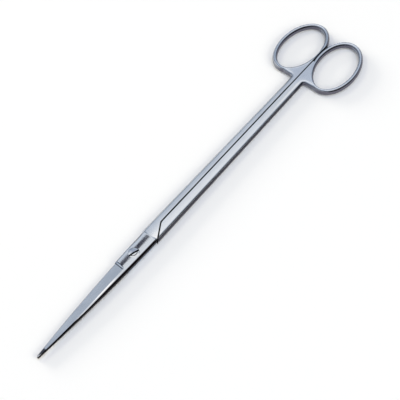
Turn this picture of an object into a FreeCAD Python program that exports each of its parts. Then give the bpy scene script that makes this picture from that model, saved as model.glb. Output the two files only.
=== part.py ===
# Long straight dissecting scissors: two one-piece steel halves and the slotted screw that joins them.
#
# Frame of the whole instrument, in millimetres: X runs from the tips (-X) to the finger rings (+X),
# Z is up, and the closed instrument lies on Z = 0 with the middle of its length at X = 0. The blades
# slide on each other in the contact plane, at half the height of the shanks.
#
# Each half is modelled in a frame of its own whose Z = 0 is that contact plane, in the position of
# the upper half. The lower half is built the same way and turned over about the long axis. The seam
# between the shanks lies a little towards +Y, so the upper half's shank is the narrower one.
import FreeCAD, Part
import math
import os

import Sketcher
from FreeCAD import Placement, Rotation, Vector

SIZES = {
    # whole instrument
    "overall_length": 250.0,
    "tip_to_screw": 73.7,
    # joint
    "joint_front": 10.2,
    "joint_rear": 12.8,
    "joint_width": 8.9,
    "joint_thickness": 3.8,
    "lap_gap": 0.04,
    # shanks; a width is that of both shanks together
    "shank_thickness": 4.2,
    "shank_end_thickness": 3.7,
    "shank_root_width": 9.8,
    "shank_end_width": 7.45,
    "shank_shift": 0.17,
    "shank_round": 1.5,
    "seam_gap": 0.1,
    "seam_shift": 0.7,
    "seam_chamfer": 0.25,
    # shoulder where one half passes over the other
    "shoulder_start": 21.1,
    "shoulder_round": 5.0,
    "shoulder_gap": 0.25,
    # blades; the thickness is that of one blade above the contact plane
    "blade_side_radius": 1120.0,
    "blade_tip_width": 1.5,
    "blade_tip_thickness": 1.25,
    "blade_round": 0.9,
    "nose_radius": 0.85,
    "nose_length": 6.0,
    "nose_drop": 0.4,
    "ridge_offset": 1.75,
    "bevel_angle": 10.3,
    "bevel_run_out": 1.4,
    "edge_land": 0.2,
    "edge_width": 0.5,
    "edge_height": 0.65,
    # finger rings; length and width are outside sizes, and the rod is an oval bar
    "ring_length": 38.1,
    "ring_width": 24.35,
    "ring_tilt": 3.8,
    "ring_flat": 0.89,
    "rod_width": 2.6,
    "rod_thickness": 3.8,
    "web_inset": 0.4,
    "web_corner_round": 1.6,
    # screw
    "screw_diameter": 3.2,
    "screw_play": 0.05,
    "head_diameter": 5.8,
    "head_play": 0.08,
    "head_seat_depth": 1.1,
    "head_seat_gap": 0.03,
    "head_dome": 0.25,
    "head_rim_recess": 0.1,
    "screw_end_recess": 0.05,
    "screw_end_chamfer": 0.3,
    "slot_width": 0.9,
    "slot_depth": 0.75,
    "slot_angle": -16.0,
}

SHEET = "sizes"
STOCK = 1.0  # extra material that a later cut takes off
REACH = 8.0  # how far a cutter runs past the sides of the instrument


class Size:
    """A length or angle held both as a number and as an expression on the sheet's cells."""

    def __init__(self, value, text):
        self.value = value
        self.text = text

    def __add__(self, other):
        return combine(self, "+", other)

    def __radd__(self, other):
        return combine(other, "+", self)

    def __sub__(self, other):
        return combine(self, "-", other)

    def __rsub__(self, other):
        return combine(other, "-", self)

    def __mul__(self, other):
        return combine(self, "*", other)

    def __rmul__(self, other):
        return combine(other, "*", self)

    def __truediv__(self, other):
        return combine(self, "/", other)

    def __neg__(self):
        return combine(0.0, "-", self)


def as_size(number):
    if isinstance(number, Size):
        return number
    return Size(float(number), f"{float(number):.9f}")


def combine(left, sign, right):
    left, right = as_size(left), as_size(right)
    value = {
        "+": lambda a, b: a + b,
        "-": lambda a, b: a - b,
        "*": lambda a, b: a * b,
        "/": lambda a, b: a / b,
    }[sign](left.value, right.value)
    return Size(value, f"({left.text} {sign} {right.text})")


def of_angle(function, angle):
    """Sine, cosine or tangent of a Size in degrees."""
    value = getattr(math, function)(math.radians(angle.value))
    return Size(value, f"{function}({angle.text} * 1 deg)")


def root(size):
    return Size(math.sqrt(size.value), f"sqrt({size.text})")


class Sizes:
    """The cells by name, and the places that follow from them.

    side is 1 for the upper half and -1 for the lower one, which is turned over, so that what lies
    towards +Y in the instrument lies towards -Y in the lower half's own frame.
    """

    def __init__(self, side=1.0):
        for name, value in SIZES.items():
            setattr(self, name, Size(value, f"{SHEET}.{name}"))
        self.tip_x = -self.overall_length / 2
        self.screw_x = self.tip_x + self.tip_to_screw
        self.front_x = self.screw_x - self.joint_front
        self.rear_x = self.screw_x + self.joint_rear
        self.bend_x = self.screw_x + self.shoulder_start
        self.shank_y = side * self.shank_shift
        self.seam_y = self.seam_gap / 2 + side * self.seam_shift
        self.lap_z = self.lap_gap / 2
        self.flat_z = self.joint_thickness / 2
        self.half_thickness = self.shank_thickness / 2
        self.half_end_thickness = self.shank_end_thickness / 2
        self.ring_long = (self.ring_length - self.rod_width) / 2
        self.ring_short = (self.ring_width - side * self.seam_shift / 2 - self.rod_width) / 2
        cos_tilt, sin_tilt = of_angle("cos", self.ring_tilt), of_angle("sin", self.ring_tilt)
        reach = self.oval_reach(cos_tilt, sin_tilt)
        self.ring_x = self.overall_length / 2 - reach
        ring_flat = self.ring_flat + side * self.seam_shift / 2
        self.ring_y = self.seam_y - ring_flat + self.oval_reach(sin_tilt, cos_tilt)
        self.web_x = self.ring_x - reach + self.web_inset
        self.shoulder_rise = self.shank_root_width / 2 - self.shank_shift

    def oval_reach(self, long_share, short_share):
        """How far a ring reaches from its centre, along an axis with these shares in its own axes."""
        along, across = self.ring_long * long_share, self.ring_short * short_share
        return root(along * along + across * across) + self.rod_width / 2

    def on_ring(self, degrees, shift=0.0):
        """Point by its angle in the ellipse of a ring's centreline, moved outward by shift."""
        along = (self.ring_long + shift) * math.cos(math.radians(degrees))
        across = (self.ring_short + shift) * math.sin(math.radians(degrees))
        cos_tilt = of_angle("cos", self.ring_tilt)
        sin_tilt = of_angle("sin", self.ring_tilt)
        x = self.ring_x + along * cos_tilt + across * sin_tilt
        y = self.ring_y - along * sin_tilt + across * cos_tilt
        return x, y

    def shank_side(self, x):
        """Place of the outer side of the half's own shank at x."""
        root_side, end_side = self.shank_root_width / 2, self.shank_end_width / 2
        slope = (end_side - root_side) / (self.web_x - self.rear_x)
        return root_side + self.shank_y + slope * (x - self.rear_x)

    def shank_top(self, x):
        """Height of a shank's face above the contact plane at x."""
        slope = (self.half_end_thickness - self.half_thickness) / (self.web_x - self.rear_x)
        return self.half_thickness + slope * (x - self.rear_x)

    def ridge_drop(self, x):
        """Depth of a blade's ridge below the joint's flat at x, along an arc tangent to the flat."""
        length = self.front_x - self.tip_x
        fall = self.flat_z - self.blade_tip_thickness
        radius = (length * length + fall * fall) / (2.0 * fall)
        return radius - root(radius * radius - (self.front_x - x) * (self.front_x - x)), radius

    def blade_side(self, x, side=1.0):
        """Place at x of a side of the blade and the joint: 1 is the cutting edge's, -1 the back."""
        low, high = self.blade_tip_width / 2, self.joint_width / 2
        share = (x - self.tip_x) / (self.rear_x - self.tip_x)
        bow = (x - self.tip_x) * (self.rear_x - x) / (2.0 * self.blade_side_radius)
        return side * (low + (high - low) * share + bow)


def make_sheet(doc):
    sheet = doc.addObject("Spreadsheet::Sheet", SHEET)
    for row, (name, value) in enumerate(SIZES.items(), start=1):
        sheet.set(f"A{row}", name)
        sheet.set(f"B{row}", str(value))
        sheet.setAlias(f"B{row}", name)
    doc.recompute()


def bind(thing, path, size):
    thing.setExpression(path, as_size(size).text)


def new_sketch(body, name, role, height=0.0, centre=None, turn=None):
    """Sketch on one of the body's origin planes, raised by height, moved to centre and turned."""
    plane = next(item for item in body.Origin.OriginFeatures if item.Role == role)
    sketch = body.newObject("Sketcher::SketchObject", name)
    sketch.AttachmentSupport = (plane, [""])
    sketch.MapMode = "FlatFace"
    axis, angle = turn if turn else (Vector(0, 0, 1), as_size(0.0))
    centre = centre if centre else (0.0, 0.0)
    offset = [as_size(value) for value in (*centre, height)]
    place = Placement(Vector(*[value.value for value in offset]), Rotation(axis, angle.value))
    sketch.AttachmentOffset = place
    for letter, value in zip("xyz", offset):
        bind(sketch, f".AttachmentOffset.Base.{letter}", value)
    if turn:
        bind(sketch, ".AttachmentOffset.Rotation.Angle", angle)
    return sketch


def dimension(sketch, name, kind, *arguments):
    """A driving dimension whose last argument is a Size."""
    size = as_size(arguments[-1])
    constraint = Sketcher.Constraint(kind, *arguments[:-1], size.value)
    sketch.renameConstraint(sketch.addConstraint(constraint), name)
    bind(sketch, f"Constraints.{name}", size)


def pin_point(sketch, name, geometry, position, point):
    for letter, value in zip("XY", point):
        dimension(sketch, f"{name}_{letter.lower()}", f"Distance{letter}", -1, 1, geometry, position, value)


def arc_between(start, end, radius):
    """Arc of less than half a turn, anticlockwise from start to end."""
    chord = end - start
    to_centre = math.sqrt(max(radius ** 2 - (chord.Length / 2) ** 2, 0.0))
    left = Vector(-chord.y, chord.x, 0).normalize()
    centre = (start + end) / 2 + left * to_centre
    angles = [math.atan2(point.y - centre.y, point.x - centre.x) for point in (start, end)]
    if angles[1] < angles[0]:
        angles[1] += 2 * math.pi
    return Part.ArcOfCircle(Part.Circle(centre, Vector(0, 0, 1), radius), *angles)


def draw_outline(sketch, corners, radii=None, hollow=()):
    """Closed anticlockwise outline.

    radii gives the arcs, by the number of the corner they leave. An arc bulges out of the outline,
    or into it if its number is in hollow.
    """
    radii = radii or {}
    points = [Vector(as_size(x).value, as_size(y).value, 0) for x, y in corners]
    count = len(points)
    for number, start in enumerate(points):
        end = points[(number + 1) % count]
        if number in hollow:
            sketch.addGeometry(arc_between(end, start, radii[number].value))
        elif number in radii:
            sketch.addGeometry(arc_between(start, end, radii[number].value))
        else:
            sketch.addGeometry(Part.LineSegment(start, end))
    first = [2 if number in hollow else 1 for number in range(count)]
    for number in range(count):
        after = (number + 1) % count
        ends = (number, 3 - first[number], after, first[after])
        sketch.addConstraint(Sketcher.Constraint("Coincident", *ends))
    for number, corner in enumerate(corners):
        pin_point(sketch, f"corner_{number}", number, first[number], corner)
    for number, radius in radii.items():
        dimension(sketch, f"radius_{number}", "Radius", number, radius)


def rectangle(low, high):
    return [(low[0], low[1]), (high[0], low[1]), (high[0], high[1]), (low[0], high[1])]


def pad(body, name, sketch, length, symmetric=False):
    feature = body.newObject("PartDesign::Pad", name)
    feature.Profile = sketch
    feature.SideType = "Symmetric" if symmetric else "One side"
    bind(feature, "Length", length)
    body.Document.recompute()
    return feature


def cut(body, name, sketch, length, symmetric=False, upward=False, direction=None):
    """Pocket along the sketch's normal, downward by default, that must take material away."""
    before = body.Shape.Volume
    feature = body.newObject("PartDesign::Pocket", name)
    feature.Profile = sketch
    feature.SideType = "Symmetric" if symmetric else "One side"
    feature.Reversed = upward
    if direction:
        feature.UseCustomVector = True
        feature.Direction = direction
    bind(feature, "Length", length)
    body.Document.recompute()
    if not body.Shape.Volume < before:
        raise RuntimeError(f"{name} cuts nothing")
    return feature


def edge_near(shape, x, y, z):
    """Name of the edge that passes closest to a point."""
    probe = Part.Vertex(*[as_size(value).value for value in (x, y, z)])
    gaps = [edge.distToShape(probe)[0] for edge in shape.Edges]
    return f"Edge{gaps.index(min(gaps)) + 1}"


def round_edges(body, name, radius, points):
    """Fillet on the edges that pass closest to the points, and on those tangent to them."""
    base = body.Tip
    feature = body.newObject("PartDesign::Fillet", name)
    feature.Base = (base, [edge_near(base.Shape, *point) for point in points])
    bind(feature, "Radius", radius)
    body.Document.recompute()
    return feature


def chamfer_edges(body, name, first, second, points):
    """Chamfer of two set-backs on the edges that pass closest to the points."""
    base = body.Tip
    feature = body.newObject("PartDesign::Chamfer", name)
    feature.Base = (base, [edge_near(base.Shape, *point) for point in points])
    feature.ChamferType = "Two distances"
    bind(feature, "Size", first)
    bind(feature, "Size2", second)
    body.Document.recompute()
    return feature


def shoulder_bend(z, x, side):
    """Ends of the arc that leads from the seam into the shoulder, on the seam first.

    The shoulder's line meets the long axis at x; side is 1 for a line that rises towards the joint.
    """
    run = z.bend_x - z.rear_x
    rise = z.shoulder_rise
    slant = root(run * run + rise * rise)
    tangent = z.shoulder_round * rise / (slant + run)
    meet_x = x - side * z.seam_y * run / rise
    on_line = (meet_x - tangent * run / slant, z.seam_y + side * tangent * rise / slant)
    return (meet_x + tangent, z.seam_y), on_line


def add_handle(body, z):
    """Shank and web: a full-height plate, thinner towards the ring, relieved under the shoulder."""
    shift = 0.1
    ring_end = z.on_ring(258.0, shift)
    ring_top = z.on_ring(180.0, shift)
    on_seam, on_line = shoulder_bend(z, z.bend_x, -1.0)
    corners = [on_line, on_seam, (ring_end[0], z.seam_y), ring_end]
    corners += [z.on_ring(angle, shift) for angle in (246.0, 234.0, 221.0, 208.0, 196.0, 187.0)]
    corners += [ring_top, (z.web_x, ring_top[1]), (z.web_x, z.shank_side(z.web_x))]
    corners += [(z.rear_x, z.shank_side(z.rear_x)), (z.rear_x, -z.shoulder_rise)]
    outline = new_sketch(body, "HandleOutline", "XY_Plane")
    draw_outline(outline, corners, radii={0: z.shoulder_round}, hollow=(0,))
    pad(body, "Handle", outline, z.shank_thickness, symmetric=True)

    end_x = z.overall_length / 2
    for name, side in (("UpperTaper", 1.0), ("LowerTaper", -1.0)):
        taper = new_sketch(body, name + "Outline", "XZ_Plane")
        rise = z.half_thickness + STOCK
        draw_outline(taper, [
            (z.rear_x, side * z.half_thickness), (end_x, side * z.shank_top(end_x)),
            (end_x, side * rise), (z.rear_x, side * rise),
        ])
        cut(body, name, taper, 2.0 * (z.ring_width + REACH), symmetric=True)

    near_x, far_x = z.bend_x + z.shoulder_gap, z.rear_x + z.shoulder_gap
    on_seam, on_line = shoulder_bend(z, near_x, 1.0)
    clear_x = near_x + REACH
    relief = new_sketch(body, "ShoulderReliefOutline", "XY_Plane", height=z.lap_z)
    draw_outline(relief, [
        (z.front_x, -REACH), (clear_x, -REACH), (clear_x, z.seam_y), on_seam, on_line,
        (far_x, z.shoulder_rise), (far_x, REACH), (z.front_x, REACH),
    ], radii={3: z.shoulder_round}, hollow=(3,))
    cut(body, "ShoulderRelief", relief, z.half_thickness + STOCK)

    round_edges(body, "WebCorner", z.web_corner_round, [(z.web_x, z.shank_side(z.web_x), 0.0)])
    outer_x = (z.bend_x + z.web_x) / 2
    outer_y, outer_z = z.shank_side(outer_x), z.shank_top(outer_x)
    round_edges(body, "ShankRound", z.shank_round, [
        (outer_x, outer_y, outer_z), (outer_x, outer_y, -outer_z),
    ])
    chamfer_edges(body, "SeamChamfer", z.seam_chamfer, z.seam_chamfer, [
        (outer_x, z.seam_y, outer_z), (outer_x, z.seam_y, -outer_z),
    ])


def add_front(body, z):
    """Joint block and blade blank, from the contact plane up, with its back rounded."""
    end_x = z.tip_x - STOCK
    places = ((end_x, -1.0), (z.rear_x, -1.0), (z.rear_x, 1.0), (end_x, 1.0))
    corners = [(x, z.blade_side(x, side)) for x, side in places]
    outline = new_sketch(body, "FrontOutline", "XY_Plane", height=z.lap_z)
    draw_outline(outline, corners, radii={0: z.blade_side_radius, 2: z.blade_side_radius})
    pad(body, "Front", outline, z.flat_z - z.lap_z)

    taper = new_sketch(body, "BladeTaperOutline", "XZ_Plane")
    rise = z.flat_z + STOCK
    drop, bow = z.ridge_drop(end_x)
    draw_outline(taper, [
        (end_x, z.flat_z - drop), (z.front_x, z.flat_z), (z.front_x, rise), (end_x, rise),
    ], radii={0: bow}, hollow=(0,))
    cut(body, "BladeTaper", taper, 2.0 * REACH, symmetric=True)
    joint_x = (z.front_x + z.rear_x) / 2
    round_edges(body, "BackRound", z.blade_round, [(joint_x, z.blade_side(joint_x, -1.0), z.flat_z)])


def add_blade_form(body, z):
    """Bevel with its run-out, rounded side of the joint, cutting edge and tip."""
    end_x = z.tip_x - STOCK
    drop, bow = z.ridge_drop(end_x)
    lean = of_angle("cos", z.bevel_angle)
    run_out = z.bevel_run_out
    bevel = new_sketch(body, "BevelOutline", "XZ_Plane", centre=(0.0, z.flat_z), height=z.ridge_offset,
                       turn=(Vector(1, 0, 0), -z.bevel_angle))
    draw_outline(bevel, [
        (end_x, -drop / lean), (z.front_x, 0.0), (z.front_x + run_out, run_out), (end_x, run_out),
    ], radii={0: bow * lean, 1: run_out}, hollow=(0,))
    cut(body, "Bevel", bevel, 2.0 * REACH)

    joint_x = (z.front_x + z.rear_x) / 2
    round_edges(body, "JointRound", z.blade_round, [(joint_x, z.blade_side(joint_x), z.flat_z)])

    path = new_sketch(body, "EdgePath", "XY_Plane")
    start = (z.front_x, z.blade_side(z.front_x))
    end = (end_x, z.blade_side(end_x))
    points = [Vector(x.value, y.value, 0) for x, y in (start, end)]
    path.addGeometry(arc_between(*points, z.blade_side_radius.value))
    pin_point(path, "start", 0, 1, start)
    pin_point(path, "end", 0, 2, end)
    dimension(path, "radius", "Radius", 0, z.blade_side_radius)
    section = new_sketch(body, "EdgeSection", "YZ_Plane", centre=(start[1], z.edge_land), height=start[0])
    outside, inside = 0.3, 1.6
    draw_outline(section, [
        (outside * z.edge_width, -outside * z.edge_height),
        (outside * z.edge_width, inside * z.edge_height),
        (-inside * z.edge_width, inside * z.edge_height),
    ])
    body.Document.recompute()
    before = body.Shape.Volume
    edge = body.newObject("PartDesign::SubtractivePipe", "CuttingEdge")
    edge.Profile = section
    edge.Spine = (path, ["Edge1"])
    body.Document.recompute()
    if not body.Shape.Volume < before:
        raise RuntimeError("CuttingEdge cuts nothing")

    facet = new_sketch(body, "TipFacetOutline", "XZ_Plane")
    facet_x = z.tip_x + z.nose_length
    tip_z = z.blade_tip_thickness - z.nose_drop
    facet_z = z.flat_z - z.ridge_drop(facet_x)[0]
    end_z = tip_z - (facet_z - tip_z) * STOCK / z.nose_length
    rise = z.flat_z + STOCK
    draw_outline(facet, [(end_x, end_z), (facet_x, facet_z), (facet_x, rise), (end_x, rise)])
    cut(body, "TipFacet", facet, 2.0 * REACH, symmetric=True)

    lead = math.radians(5.0)
    nose_x = z.tip_x + z.nose_radius * (1.0 - math.sin(lead))
    nose_y = z.nose_radius * math.cos(lead)
    far_x = end_x - STOCK
    nose = new_sketch(body, "NoseOutline", "XY_Plane")
    draw_outline(nose, [
        (far_x, -REACH), (nose_x, -REACH), (nose_x, -nose_y), (nose_x, nose_y),
        (nose_x, REACH), (far_x, REACH),
    ], radii={2: z.nose_radius}, hollow=(2,))
    cut(body, "Nose", nose, 2.0 * REACH, symmetric=True)


def draw_ellipse(sketch, centre_x, along, across, upright=False):
    """Ellipse whose long half axis is along and short half axis across."""
    centre = Vector(as_size(centre_x).value, 0, 0)
    long_way, short_way = Vector(1, 0, 0), Vector(0, 1, 0)
    if upright:
        long_way, short_way = short_way, -long_way
    major, minor = centre + long_way * along.value, centre + short_way * across.value
    ellipse = sketch.addGeometry(Part.Ellipse(major, minor, centre))
    sketch.exposeInternalGeometry(ellipse)
    pin_point(sketch, "centre", ellipse, 3, (centre_x, 0.0))
    sketch.addConstraint(Sketcher.Constraint("Vertical" if upright else "Horizontal", ellipse + 1))
    dimension(sketch, "long_axis", "Distance", ellipse + 1, 2.0 * along)
    dimension(sketch, "short_axis", "Distance", ellipse + 2, 2.0 * across)


def add_ring(body, z):
    """Finger ring: an oval bar bent into a closed ring, flattened where it meets the other ring."""
    path = new_sketch(body, "RingPath", "XY_Plane", centre=(z.ring_x, z.ring_y),
                      turn=(Vector(0, 0, 1), -z.ring_tilt))
    draw_ellipse(path, 0.0, z.ring_long, z.ring_short)
    section = new_sketch(body, "RingSection", "XZ_Plane", centre=(z.ring_x, 0.0), height=-z.ring_y,
                         turn=(Vector(0, 1, 0), -z.ring_tilt))
    draw_ellipse(section, z.ring_long, z.rod_thickness / 2, z.rod_width / 2, upright=True)
    body.Document.recompute()
    ring = body.newObject("PartDesign::AdditivePipe", "Ring")
    ring.Profile = section
    ring.Spine = (path, ["Edge1"])
    body.Document.recompute()
    flat = new_sketch(body, "RingFlatOutline", "XY_Plane")
    end_x = z.overall_length / 2 + REACH
    draw_outline(flat, rectangle((z.web_x, -z.ring_width), (end_x, z.seam_y)))
    cut(body, "RingFlat", flat, z.rod_thickness + REACH, symmetric=True)


def draw_circle(sketch, centre, radius):
    place = [as_size(value).value for value in centre]
    circle = sketch.addGeometry(Part.Circle(Vector(*place, 0), Vector(0, 0, 1), radius.value))
    pin_point(sketch, "centre", circle, 3, centre)
    dimension(sketch, "radius", "Radius", circle, radius)


def add_screw_hole(body, z, threaded):
    """Threaded bore, or a running hole under a counterbore for the screw's head."""
    radius = z.screw_diameter / 2
    if not threaded:
        radius = radius + z.screw_play
    hole = new_sketch(body, "ScrewHoleOutline", "XY_Plane", height=z.flat_z + STOCK)
    draw_circle(hole, (z.screw_x, 0.0), radius)
    cut(body, "ScrewHole", hole, z.flat_z + 2.0 * STOCK)
    if threaded:
        return
    seat = new_sketch(body, "HeadSeatOutline", "XY_Plane", height=z.flat_z)
    draw_circle(seat, (z.screw_x, 0.0), z.head_diameter / 2 + z.head_play)
    cut(body, "HeadSeat", seat, z.head_seat_depth)


def build_half(doc, name, threaded):
    """One forging, with the thread or with the running hole and the seat for the screw's head."""
    z = Sizes(side=-1.0 if threaded else 1.0)
    body = doc.addObject("PartDesign::Body", name)
    body.Label = name
    add_front(body, z)
    add_blade_form(body, z)
    add_screw_hole(body, z, threaded)
    add_handle(body, z)
    add_ring(body, z)
    turn = Rotation(Vector(1, 0, 0), 180.0 if threaded else 0.0)
    body.Placement = Placement(Vector(0, 0, z.half_thickness.value), turn)
    bind(body, ".Placement.Base.z", z.half_thickness)
    return body


def build_screw(doc, name):
    """Domed slotted head that sits in its counterbore, and a shank threaded into the lower half."""
    z = Sizes()
    body = doc.addObject("PartDesign::Body", name)
    body.Label = name
    radius, head = z.screw_diameter / 2, z.head_diameter / 2
    end_z = z.screw_end_recess - z.flat_z
    seat_z = z.flat_z - z.head_seat_depth + z.head_seat_gap
    rim_z = z.flat_z - z.head_rim_recess
    crown_z = rim_z + z.head_dome
    dome = (head * head + z.head_dome * z.head_dome) / (2.0 * z.head_dome)
    profile = new_sketch(body, "ScrewProfile", "XZ_Plane")
    draw_outline(profile, [
        (0.0, end_z), (radius - z.screw_end_chamfer, end_z), (radius, end_z + z.screw_end_chamfer),
        (radius, seat_z), (head, seat_z), (head, rim_z), (0.0, crown_z),
    ], radii={5: dome})
    screw = body.newObject("PartDesign::Revolution", "Screw")
    screw.Profile = profile
    screw.ReferenceAxis = (profile, ["V_Axis"])
    screw.Angle = 360.0
    doc.recompute()
    slot = new_sketch(body, "SlotOutline", "XY_Plane", height=crown_z,
                      turn=(Vector(0, 0, 1), z.slot_angle))
    half_length, half_width = head + STOCK, z.slot_width / 2
    draw_outline(slot, rectangle((-half_length, -half_width), (half_length, half_width)))
    cut(body, "Slot", slot, z.slot_depth)
    body.Placement = Placement(Vector(z.screw_x.value, 0, z.half_thickness.value), Rotation())
    bind(body, ".Placement.Base.x", z.screw_x)
    bind(body, ".Placement.Base.z", z.half_thickness)
    return body


def check(doc):
    for item in doc.Objects:
        if "Invalid" in item.State or "Error" in item.State:
            raise RuntimeError(f"{item.Label} is not built")
        if item.isDerivedFrom("PartDesign::Feature") or item.isDerivedFrom("PartDesign::Body"):
            if item.Shape.isNull() or not item.Shape.isValid():
                raise RuntimeError(f"{item.Label} has no valid shape")


def main():
    doc = FreeCAD.newDocument("scissors")
    make_sheet(doc)
    bodies = [
        build_half(doc, "upper_half", threaded=False),
        build_half(doc, "lower_half", threaded=True),
        build_screw(doc, "joint_screw"),
    ]
    doc.recompute()
    check(doc)
    os.makedirs("parts", exist_ok=True)
    for body in bodies:
        if len(body.Shape.Solids) != 1:
            raise RuntimeError(f"{body.Label} is not one solid")
        body.Shape.exportStep(f"parts/{body.Label}.step")


main()
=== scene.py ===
import math
from types import SimpleNamespace

import bpy
from mathutils import Matrix, Vector

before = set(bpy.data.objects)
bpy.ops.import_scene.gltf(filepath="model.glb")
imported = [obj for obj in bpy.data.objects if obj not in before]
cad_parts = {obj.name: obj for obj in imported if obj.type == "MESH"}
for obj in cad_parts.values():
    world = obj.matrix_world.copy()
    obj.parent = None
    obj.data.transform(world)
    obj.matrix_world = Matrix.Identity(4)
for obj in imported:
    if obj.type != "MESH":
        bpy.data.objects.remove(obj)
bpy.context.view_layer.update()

MM = 0.001

# Camera, fitted to the instrument's outline
ELEVATION = math.radians(54.835)
TURN = math.radians(52.507)
DISTANCE = 943.4 * MM
LOOK_AT = Vector((7.075, 0.0, 0.0)) * MM
FOCAL_PX = 1846.8
IMAGE_PX = 400.0
SENSOR_WIDTH = 36.0
AIM_X, AIM_Y = 5.83, 19.16

# Places on the closed instrument, in metres
TIP_X = -0.125
SCREW_X = -0.0513
LAP_Z = 0.0021
# y of the painted shade along the seam
SEAM_Y = 0.0008
BLADE_LENGTH = 0.0865
BLADE_CURVE = (0.00075, 0.00704, -0.00334)
# Point and way of the painted shade along the shoulder's line
SHOULDER_POINT, SHOULDER_WAY = (-0.0385, -0.00465), (0.871, 0.491)
# Place and slope of the painted dark line at the end of the joint's flat
RUN_OUT_X, RUN_OUT_SLOPE = -0.0619, 0.17
# Centre of the painted highlight at the shoulder's root and the y of the painted highlight streak
# on the shank
ROOT_HIGHLIGHT_POINT = (-0.0365, -0.0028)
STREAK_HIGHLIGHT_Y = -0.0021
RIDGE_MIDDLE = 0.0012

# Soft edges of the zones along the instrument, each from where it starts to where it is full
FRONT_EDGE = (-0.0370, -0.0395)
RING_EDGE = (0.080, 0.090)
JOINT_EDGE = (-0.0622, -0.0612)
SHANK_ZONE = ((-0.0388, -0.0380), (0.090, 0.081))
# The zones from here on place painted light: the step wall's painted reflection, painted shade
# along the shoulder and seam, the painted floor reflection on the cutting-edge side, painted
# highlights and the tip's painted shade
STEP_ZONE = ((-0.0400, -0.0392), (-0.0372, -0.0380))
SHOULDER_ZONE = ((-0.0394, -0.0388), (-0.0284, -0.0290))
SEAM_START = (-0.0290, -0.0280)
EDGE_SIDE_START = (-0.0640, -0.0610)
STREAK_HIGHLIGHT_ZONE = ((0.060, 0.072), (0.089, 0.083))
RIDGE_ZONE = ((-0.0890, -0.0790), (-0.0665, -0.0725))
TIP_EDGE = (-0.1192, -0.1200)
ROOT_HIGHLIGHT_START = (-0.0390, -0.0384)

# How upright the normal is on flat faces, from where they start to where they are full,
# and how much a lean towards one side counts in it
FLAT = (0.985, 0.998)
SHANK_TOP, RING_TOP, FRONT_TOP = (0.50, 0.82), (0.40, 0.94), (0.86, 0.975)
SHANK_TILT, RING_TILT = -0.2, 0.35

# Grain and clouds of the finish: scale, stretch along each axis and detail
GRAIN = (900.0, (0.04, 1.0, 1.0), 3.0)
HALF_CLOUD = (140.0, (0.5, 1.0, 1.0), 2.0)
SCREW_CLOUD = (500.0, (1.0, 1.0, 1.0), 3.0)
CLOUD_RANGE, JOINT_CLOUD_RANGE = (0.3, 0.7), (0.35, 0.65)
CLOUD_TONE = (0.94, 1.04)
SATIN_ROUGHNESS, JOINT_ROUGHNESS, SCREW_ROUGHNESS = (0.20, 0.27), (0.05, 0.09), (0.06, 0.14)

# Fine height of the surface
CROWN_CURVE = -20.0
GRAIN_HEIGHT = 0.0012 * MM
RIDGE_LEAN = 0.12

# Colours of the faces, the front's and the rings' darker as painted shade, with the painted
# highlight and the tip's painted shade
SHANK_FACE = (0.85, 0.872, 0.905)
FRONT_FACE_SHADED = (0.77, 0.80, 0.84)
RING_FACE_SHADED = (0.72, 0.765, 0.84)
PAINTED_HIGHLIGHT = (0.985, 0.985, 0.99)
TIP_SHADE = (0.10, 0.105, 0.125)

# Colours of the upright sides: painted shade and painted reflections
FRONT_SIDE_SHADE = (0.010, 0.007, 0.009)
EDGE_SIDE_REFLECTION = (0.66, 0.71, 0.79)
SHANK_SIDE_SHADE = (0.036, 0.033, 0.048)
RING_SIDE_NEAR_SHADE, RING_SIDE_FAR_LIT = (0.16, 0.155, 0.19), (0.32, 0.34, 0.39)
STEP_WALL_LIGHT = (0.70, 0.72, 0.77)
FAR_SIDE_LIT = (0.42, 0.44, 0.48)

# Colours of the painted shade along the seam and the shoulder's line and of the painted dark line
# at the end of the joint's flat
SEAM_SHADE = (0.02, 0.02, 0.025)
RUN_OUT_SHADE = (0.08, 0.085, 0.10)

# Screw, in metres from its axis, and its colours, all painted light and shade
SLOT_SLOPE = 0.287
RIM_RADIUS, RIM_Y = 0.0023, 0.0009
SLOT_EDGE, GROOVE = (-0.0002, 0.0002), (0.00052, 0.00042)
SCREW_NEAR_REFLECTION = ((0.64, 0.66, 0.69), (0.76, 0.78, 0.80))
SCREW_FAR_REFLECTION = ((0.56, 0.60, 0.68), (0.80, 0.83, 0.88))
SCREW_RIM_SHADE = (0.06, 0.06, 0.07)
SCREW_SLOT_SHADE = (0.015, 0.015, 0.02)
SCREW_SIDE_SHADE = (0.05, 0.05, 0.06)

# Studio
FLOOR_SIZE = 6.0
FLOOR_COLOUR = (0.93, 0.93, 0.93, 1.0)
DOME_RADIUS = 2.5
DOME_DARK = (-0.56, -0.86)
DOME_STOPS = (
    (0.0, (0.24, 0.27, 0.32)),
    (0.50, (0.335, 0.385, 0.445)),
    (0.588, (0.36, 0.41, 0.475)),
    (0.629, (0.39, 0.44, 0.51)),
    (0.714, (0.50, 0.55, 0.65)),
    (0.76, (0.58, 0.63, 0.72)),
    (0.817, (0.73, 0.755, 0.785)),
    (0.863, (0.87, 0.885, 0.91)),
    (0.899, (0.94, 0.95, 0.96)),
    (1.0, (0.98, 0.98, 0.99)),
)
FLAG_START_X, FLAG_END_X = -60.4, -38.7
JOINT_TOP_Z = 4.0 * MM
FLAG_HEIGHT = 30.0 * MM
WORLD_LIGHT = (0.452, 0.451, 0.470)
WHITE = (1.0, 1.0, 1.0)


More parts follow.
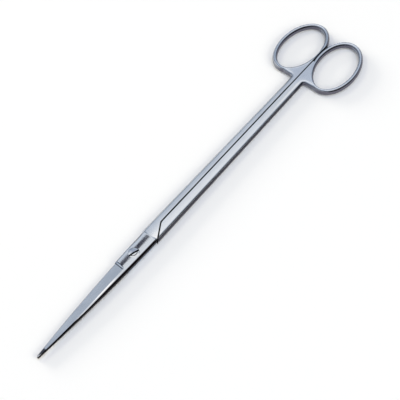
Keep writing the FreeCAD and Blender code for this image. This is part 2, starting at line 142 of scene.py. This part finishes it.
def add_camera():
    right = Vector((math.cos(TURN), -math.sin(TURN), 0.0))
    back = Vector((-math.cos(ELEVATION) * math.sin(TURN),
                   -math.cos(ELEVATION) * math.cos(TURN),
                   math.sin(ELEVATION)))
    up = back.cross(right)
    place = LOOK_AT + back * DISTANCE
    back = (back + right * (AIM_X / FOCAL_PX) + up * (AIM_Y / FOCAL_PX)).normalized()
    right = up.cross(back).normalized()
    up = back.cross(right)
    data = bpy.data.cameras.new("camera")
    data.sensor_width = SENSOR_WIDTH
    data.lens = FOCAL_PX * SENSOR_WIDTH / IMAGE_PX
    data.clip_start = 10.0 * MM
    camera = bpy.data.objects.new("camera", data)
    turn = Matrix((right, up, back)).transposed()
    camera.matrix_world = Matrix.Translation(place) @ turn.to_4x4()
    bpy.context.scene.collection.objects.link(camera)
    bpy.context.scene.camera = camera


class Graph:
    """Node tree of a material or of the world, with the kinds of node that the scene uses."""

    def __init__(self, tree):
        self.nodes = tree.nodes
        self.links = tree.links

    def give(self, socket, value):
        if isinstance(value, (int, float)):
            socket.default_value = value
        elif isinstance(value, tuple):
            socket.default_value = (*value, 1.0)
        else:
            self.links.new(value, socket)

    def math(self, operation, *inputs):
        node = self.nodes.new("ShaderNodeMath")
        node.operation = operation
        for socket, value in zip(node.inputs, inputs):
            self.give(socket, value)
        return node.outputs[0]

    def product(self, first, *others):
        for other in others:
            first = self.math("MULTIPLY", first, other)
        return first

    def ramp(self, value, edge, ends=(0.0, 1.0)):
        """Smooth change from one end value to the other across an edge."""
        node = self.nodes.new("ShaderNodeMapRange")
        node.interpolation_type = "SMOOTHSTEP"
        names = ("From Min", "From Max", "To Min", "To Max")
        for name, number in zip(names, (*edge, *ends)):
            node.inputs[name].default_value = number
        self.links.new(value, node.inputs["Value"])
        return node.outputs["Result"]

    def zone(self, value, edges):
        """1 between two soft edges and 0 outside them."""
        return self.product(*(self.ramp(value, edge) for edge in edges))

    def line(self, distance, edge, ends=(0.0, 1.0)):
        """Ramp of a distance, the same on both sides of where it is 0."""
        return self.ramp(self.math("ABSOLUTE", distance), edge, ends)

    def reach(self, across, along):
        """Distance from the point where both numbers are 0."""
        squares = [self.product(number, number) for number in (across, along)]
        return self.math("SQRT", self.math("ADD", *squares))

    def mix(self, factor, first, second, kind="FLOAT", mode="MIX"):
        node = self.nodes.new("ShaderNodeMix")
        node.data_type = kind
        if kind == "RGBA":
            node.blend_type = mode
        for name, value in (("Factor", factor), ("A", first), ("B", second)):
            self.give(node.inputs[name], value)
        return node.outputs["Result"]

    def blend(self, factor, first, second, mode="MIX"):
        return self.mix(factor, first, second, "RGBA", mode)

    def noise(self, place, scale, stretch, detail):
        mapping = self.nodes.new("ShaderNodeMapping")
        mapping.inputs["Scale"].default_value = stretch
        self.links.new(place, mapping.inputs["Vector"])
        node = self.nodes.new("ShaderNodeTexNoise")
        node.inputs["Scale"].default_value = scale
        node.inputs["Detail"].default_value = detail
        self.links.new(mapping.outputs["Vector"], node.inputs["Vector"])
        return node.outputs["Fac"]

    def place(self):
        return self.nodes.new("ShaderNodeTexCoord").outputs

    def split(self, vector):
        node = self.nodes.new("ShaderNodeSeparateXYZ")
        self.links.new(vector, node.inputs[0])
        return tuple(node.outputs)

    def glow(self, colour, strength=1.0):
        """Makes the whole material shine instead of reflecting light."""
        self.nodes.remove(self.nodes["Principled BSDF"])
        glow = self.nodes.new("ShaderNodeEmission")
        self.give(glow.inputs["Color"], colour)
        self.give(glow.inputs["Strength"], strength)
        self.links.new(glow.outputs["Emission"], self.nodes["Material Output"].inputs["Surface"])


def new_material(name):
    material = bpy.data.materials.new(name)
    material.use_nodes = True
    return material, Graph(material.node_tree)


def new_metal(name):
    material, graph = new_material(name)
    shader = graph.nodes["Principled BSDF"]
    shader.inputs["Metallic"].default_value = 1.0
    return material, graph, shader.inputs


def read_half(graph):
    """Where a point of a half lies, which way it faces and in which zones it is.

    own is y seen from the half's own side, rise is the height above or below the lap,
    back is the distance from the blade's curved back and level is 1 on flat faces.
    """
    place = graph.place()
    x, y, z = graph.split(place["Object"])
    _, normal_y, normal_z = graph.split(place["Normal"])
    level = graph.math("ABSOLUTE", normal_z)
    height = graph.math("SUBTRACT", z, LAP_Z)
    own = graph.product(graph.math("SIGN", height), y)
    share = graph.math("DIVIDE", graph.math("ADD", x, -TIP_X), BLADE_LENGTH)
    start, slope, bend = BLADE_CURVE
    back = graph.math("MULTIPLY_ADD", share, bend, slope)
    back = graph.math("MULTIPLY_ADD", share, back, start)
    return SimpleNamespace(
        place=place["Object"],
        x=x,
        y=y,
        own=own,
        rise=graph.math("ABSOLUTE", height),
        back=graph.math("ADD", back, own),
        normal_y=normal_y,
        level=level,
        front=graph.ramp(x, FRONT_EDGE),
        ring=graph.ramp(x, RING_EDGE),
        ridge=graph.product(graph.zone(x, RIDGE_ZONE), graph.ramp(level, FLAT)),
        cloud=graph.noise(place["Object"], *HALF_CLOUD),
    )


def face_share(graph, half):
    """1 on upper and lower faces and 0 on upright sides and near the blade's back, where the
    painted side shade goes, each zone with its own rounding.
    """
    tilted = graph.math("MAXIMUM", half.normal_y, 0.0)
    tilted = graph.math("MULTIPLY_ADD", tilted, SHANK_TILT, half.level)
    ring_level = graph.math("MINIMUM", half.normal_y, 0.0)
    ring_level = graph.math("MULTIPLY_ADD", ring_level, RING_TILT, half.level)
    rear = graph.mix(half.ring, graph.ramp(tilted, SHANK_TOP), graph.ramp(ring_level, RING_TOP))
    narrowed = graph.ramp(half.x, (-0.097, -0.070), (-0.0002, 0.0004))
    inside = graph.math("SUBTRACT", half.back, narrowed)
    front = graph.product(graph.ramp(half.level, FRONT_TOP), graph.ramp(inside, (0.0004, 0.0009)))
    return graph.mix(half.front, rear, front)


def side_colour(graph, half):
    """Upright sides, all painted light and shade: near black towards the front with a pale painted
    floor reflection near the lap on the cutting-edge side by the joint, dark on the shanks, paler
    round the rings and on the step's wall, and paler where they face +y.
    """
    # Dark sides are painted shade, the pale strip on the cutting-edge side a painted floor
    # reflection, and the paler ring sides, step wall and sides facing +y painted light
    edge = graph.product(graph.ramp(half.own, (0.0, 0.0005)),
                         graph.zone(half.rise, ((0.0001, 0.0005), (0.00190, 0.00145))),
                         graph.ramp(half.x, EDGE_SIDE_START))
    front = graph.blend(edge, FRONT_SIDE_SHADE, EDGE_SIDE_REFLECTION)
    ring_turn = graph.ramp(half.normal_y, (-0.3, 0.4))
    ring = graph.blend(ring_turn, RING_SIDE_NEAR_SHADE, RING_SIDE_FAR_LIT)
    rear = graph.blend(half.ring, SHANK_SIDE_SHADE, ring)
    step = graph.product(graph.zone(half.x, STEP_ZONE), graph.ramp(half.own, (-0.0036, -0.0030)))
    side = graph.blend(step, graph.blend(half.front, rear, front), STEP_WALL_LIGHT)
    return graph.blend(graph.ramp(half.normal_y, (0.55, 0.90)), side, FAR_SIDE_LIT)


def face_colour(graph, half):
    """Flat faces, with painted highlights at the shoulder's root, on a streak of the shank and on
    the blade's ridge, and painted shade on the tip.
    """
    # The front's and the rings' faces are darker copies of the shank's colour, as painted shade
    plain = graph.blend(half.front, SHANK_FACE, FRONT_FACE_SHADED)
    plain = graph.blend(half.ring, plain, RING_FACE_SHADED)
    # Painted highlight at the shoulder's root
    away = graph.reach(graph.math("ADD", half.x, -ROOT_HIGHLIGHT_POINT[0]),
                       graph.math("ADD", half.own, -ROOT_HIGHLIGHT_POINT[1]))
    root_highlight = graph.product(graph.ramp(away, (0.0046, 0.0004)), graph.ramp(half.x, ROOT_HIGHLIGHT_START))
    # Painted highlight along a streak of the shank before the rings
    streak_highlight = graph.product(graph.line(graph.math("ADD", half.y, -STREAK_HIGHLIGHT_Y), (0.0009, 0.0001)),
                           graph.zone(half.x, STREAK_HIGHLIGHT_ZONE))
    # Painted shade on the tip's sloping faces
    tip = graph.product(graph.ramp(half.x, TIP_EDGE), graph.ramp(half.level, (0.999, 0.99)))
    # Painted highlights at the shoulder's root, on the shank's streak and on the blade's ridge,
    # and painted shade on the tip
    marks = ((root_highlight, PAINTED_HIGHLIGHT), (streak_highlight, PAINTED_HIGHLIGHT), (half.ridge, PAINTED_HIGHLIGHT), (tip, TIP_SHADE))
    for share, colour in marks:
        plain = graph.blend(share, plain, colour)
    tone = graph.ramp(half.cloud, CLOUD_RANGE, CLOUD_TONE)
    return graph.blend(1.0, plain, tone, "MULTIPLY")


def seam_shade(graph, half):
    """Painted shade along the seam of the shanks and the shoulder's line."""
    away = graph.math("ABSOLUTE", graph.math("SUBTRACT", half.y, SEAM_Y))
    away = graph.product(away, graph.ramp(half.x, (0.075, 0.088), (1.0, 1.4)),
                         graph.ramp(half.x, (-0.014, 0.0), (0.8, 1.0)))
    seam = graph.product(graph.ramp(away, (0.00038, 0.00024)), graph.ramp(half.x, SEAM_START))
    along, across = SHOULDER_WAY
    distance = graph.product(graph.math("ADD", half.x, -SHOULDER_POINT[0]), -across)
    distance = graph.math("MULTIPLY_ADD", graph.math("ADD", half.y, -SHOULDER_POINT[1]),
                          along, distance)
    line = graph.product(graph.line(distance, (0.00042, 0.00028)),
                         graph.zone(half.x, SHOULDER_ZONE))
    return graph.math("MAXIMUM", seam, line)


def run_out_shade(graph, half):
    """Painted shade: a dark line across the blade where the joint's flat ends."""
    distance = graph.math("MULTIPLY_ADD", half.own, -RUN_OUT_SLOPE,
                          graph.math("ADD", half.x, -RUN_OUT_X))
    return graph.product(graph.line(distance, (0.00045, 0.0001), (0.0, 0.85)),
                         graph.ramp(half.own, (-0.0021, -0.0008)))


def half_height(graph, half):
    """Fine height: crowned shanks, brushed grain and the lean of the blade's ridge."""
    shank = graph.zone(half.x, SHANK_ZONE)
    crown = graph.product(half.y, half.y, shank, CROWN_CURVE)
    grain = graph.noise(half.place, *GRAIN)
    height = graph.math("ADD", crown, graph.product(grain, GRAIN_HEIGHT))
    lean = graph.product(graph.math("SUBTRACT", half.back, RIDGE_MIDDLE), half.ridge)
    return graph.math("MULTIPLY_ADD", lean, RIDGE_LEAN, height)


def half_steel():
    """Satin forging steel: brushed along its length, with painted shade and painted reflections on
    its sides, painted highlights and painted shade on its faces and seams, polished at the joint.
    """
    material, graph, inputs = new_metal("satin_steel")
    half = read_half(graph)
    # Sides in painted shade and painted reflections, faces with painted highlights and painted
    # shade
    sides, faces = side_colour(graph, half), face_colour(graph, half)
    colour = graph.blend(face_share(graph, half), sides, faces)
    # Painted shade along the seam and the shoulder's line
    colour = graph.blend(seam_shade(graph, half), colour, SEAM_SHADE)
    # Painted dark line where the joint's flat ends
    colour = graph.blend(run_out_shade(graph, half), colour, RUN_OUT_SHADE)
    graph.links.new(colour, inputs["Base Color"])

    joint = graph.product(graph.ramp(half.x, JOINT_EDGE), half.front, graph.ramp(half.level, FLAT))
    satin = graph.ramp(half.cloud, CLOUD_RANGE, SATIN_ROUGHNESS)
    polished = graph.ramp(half.cloud, JOINT_CLOUD_RANGE, JOINT_ROUGHNESS)
    graph.links.new(graph.mix(joint, satin, polished), inputs["Roughness"])

    bump = graph.nodes.new("ShaderNodeBump")
    bump.inputs["Distance"].default_value = 1.0
    bump.inputs["Strength"].default_value = 1.0
    graph.links.new(half_height(graph, half), bump.inputs["Height"])
    graph.links.new(bump.outputs["Normal"], inputs["Normal"])
    return material


def screw_steel():
    """Polished screw with painted light: painted shade in the slot, a painted paler half above the
    slot than below, painted shade on a rim below it and on its sides.
    """
    material, graph, inputs = new_metal("polished_steel")
    place = graph.place()
    cloud = graph.noise(place["Object"], *SCREW_CLOUD)
    x, y, _ = graph.split(place["Object"])
    x = graph.math("ADD", x, -SCREW_X)
    _, _, normal_z = graph.split(place["Normal"])
    level = graph.math("ABSOLUTE", normal_z)
    slot = graph.math("MULTIPLY_ADD", x, SLOT_SLOPE, y)
    away = graph.reach(x, graph.math("SUBTRACT", y, RIM_Y))
    far = graph.blend(graph.ramp(cloud, (0.40, 0.62)), *SCREW_FAR_REFLECTION)
    near = graph.blend(graph.ramp(cloud, (0.35, 0.60)), *SCREW_NEAR_REFLECTION)
    # Painted lighter and darker halves of the head, either side of the slot
    head = graph.blend(graph.ramp(slot, SLOT_EDGE), near, far)
    rim = graph.product(graph.line(graph.math("SUBTRACT", away, RIM_RADIUS), (0.00034, 0.00010)),
                        graph.ramp(slot, (-0.0002, -0.0006)),
                        graph.ramp(cloud, (0.36, 0.52), (0.45, 1.0)))
    # Painted shade on a rim below the slot
    head = graph.blend(rim, head, SCREW_RIM_SHADE)
    # Painted shade in the slot
    head = graph.blend(graph.line(slot, GROOVE), head, SCREW_SLOT_SHADE)
    # Painted shade on the head's sides
    colour = graph.blend(graph.ramp(level, (0.5, 0.9)), SCREW_SIDE_SHADE, head)
    graph.links.new(colour, inputs["Base Color"])
    graph.links.new(graph.ramp(cloud, CLOUD_RANGE, SCREW_ROUGHNESS), inputs["Roughness"])
    return material


def dress():
    half_material, screw_material = half_steel(), screw_steel()
    for node, material in (("upper_half", half_material), ("lower_half", half_material),
                           ("joint_screw", screw_material)):
        for slot in bpy.data.objects[node].material_slots:
            slot.material = material


def add_floor():
    bpy.ops.mesh.primitive_plane_add(size=FLOOR_SIZE, location=(0, 0, 0))
    floor = bpy.context.object
    floor.name = "floor"
    material, graph = new_material("floor_white")
    shader = graph.nodes["Principled BSDF"]
    shader.inputs["Base Color"].default_value = FLOOR_COLOUR
    shader.inputs["Roughness"].default_value = 0.9
    shader.inputs["Specular IOR Level"].default_value = 0.0
    floor.data.materials.append(material)


def show_in_reflections_only(helper):
    helper.visible_camera = False
    helper.visible_diffuse = False
    helper.visible_transmission = False
    helper.visible_shadow = False


def add_dome():
    """Studio for reflections: bright overhead, dimmer lower down and dark behind the camera."""
    bpy.ops.mesh.primitive_uv_sphere_add(segments=96, ring_count=48, radius=DOME_RADIUS,
                                         location=(0, 0, 0))
    dome = bpy.context.object
    dome.name = "studio_dome"
    for face in dome.data.polygons:
        face.use_smooth = True
    material, graph = new_material("studio_glow")
    _, y, z = graph.split(graph.place()["Object"])
    sky = graph.nodes.new("ShaderNodeValToRGB")
    graph.links.new(graph.math("DIVIDE", z, DOME_RADIUS), sky.inputs["Fac"])
    elements = sky.color_ramp.elements
    for position, colour in DOME_STOPS[1:-1]:
        elements.new(position)
    for element, (position, colour) in zip(elements, DOME_STOPS):
        element.color = (*colour, 1.0)
    dark = graph.ramp(graph.math("DIVIDE", y, DOME_RADIUS), DOME_DARK, (1.0, 0.05))
    graph.glow(sky.outputs["Color"], dark)
    dome.data.materials.append(material)
    show_in_reflections_only(dome)


def add_flag(name, low, high, colour, lean=0.0):
    """Card that the joint's flat mirrors between two places across it, in mm."""
    start = FLAG_START_X - lean
    ends = ((start, low), (FLAG_END_X, low), (FLAG_END_X, high), (FLAG_START_X, high))
    eye = bpy.context.scene.camera.matrix_world.translation
    corners = []
    for x, y in ends:
        spot = Vector((x * MM, y * MM, JOINT_TOP_Z))
        way = spot - eye
        way.z = -way.z
        corners.append(spot + way * (FLAG_HEIGHT / way.z))
    mesh = bpy.data.meshes.new(name)
    mesh.from_pydata(corners, [], [(0, 1, 2, 3)])
    flag = bpy.data.objects.new(name, mesh)
    bpy.context.scene.collection.objects.link(flag)
    material, graph = new_material(name)
    graph.glow(colour)
    mesh.materials.append(material)
    show_in_reflections_only(flag)


def add_world():
    """White where it is seen, straight or in a mirror, and plain grey as a source of light."""
    world = bpy.data.worlds.new("studio")
    bpy.context.scene.world = world
    world.use_nodes = True
    graph = Graph(world.node_tree)
    ray = graph.nodes.new("ShaderNodeLightPath").outputs
    seen = graph.math("MAXIMUM", ray["Is Camera Ray"], ray["Is Glossy Ray"])
    seen = graph.math("MAXIMUM", seen, ray["Is Transmission Ray"])
    background = graph.nodes["Background"].inputs
    graph.links.new(graph.blend(seen, WORLD_LIGHT, WHITE), background["Color"])
    background["Strength"].default_value = 1.0


def add_area(name, place, size, power, colour):
    """Lamp that points at the middle of the instrument and that reflections don't show."""
    data = bpy.data.lights.new(name, "AREA")
    data.shape = "RECTANGLE"
    data.size, data.size_y = size
    data.energy = power
    data.color = colour
    lamp = bpy.data.objects.new(name, data)
    lamp.location = place
    lamp.rotation_euler = (-Vector(place)).to_track_quat("-Z", "Y").to_euler()
    lamp.visible_glossy = False
    bpy.context.scene.collection.objects.link(lamp)


add_camera()
dress()
add_floor()
add_dome()
add_flag("black_flag", -0.35, 1.90, (0.06, 0.06, 0.08), 1.5)
add_flag("pale_flag", 1.90, 3.35, (0.68, 0.73, 0.81))
add_flag("grey_flag", 3.35, 4.5, (0.47, 0.51, 0.58))
add_world()
add_area("overhead", (0.0, -0.35, 2.2), (1.0, 1.0), 17.3, (0.610, 0.695, 0.874))
add_area("low_window", (0.0, 2.0, 0.517), (1.4, 0.5), 26.5, (1.0, 0.93, 0.79))
add_area("high_window", (0.0, 1.6, 1.6), (0.7, 0.5), 7.15, (1.0, 0.925, 0.60))
add_area("front_window", (0.0, -1.6, 1.2), (1.4, 0.9), 13.4, (1.0, 0.965, 0.82))

scene = bpy.context.scene
scene.view_settings.view_transform = "Standard"
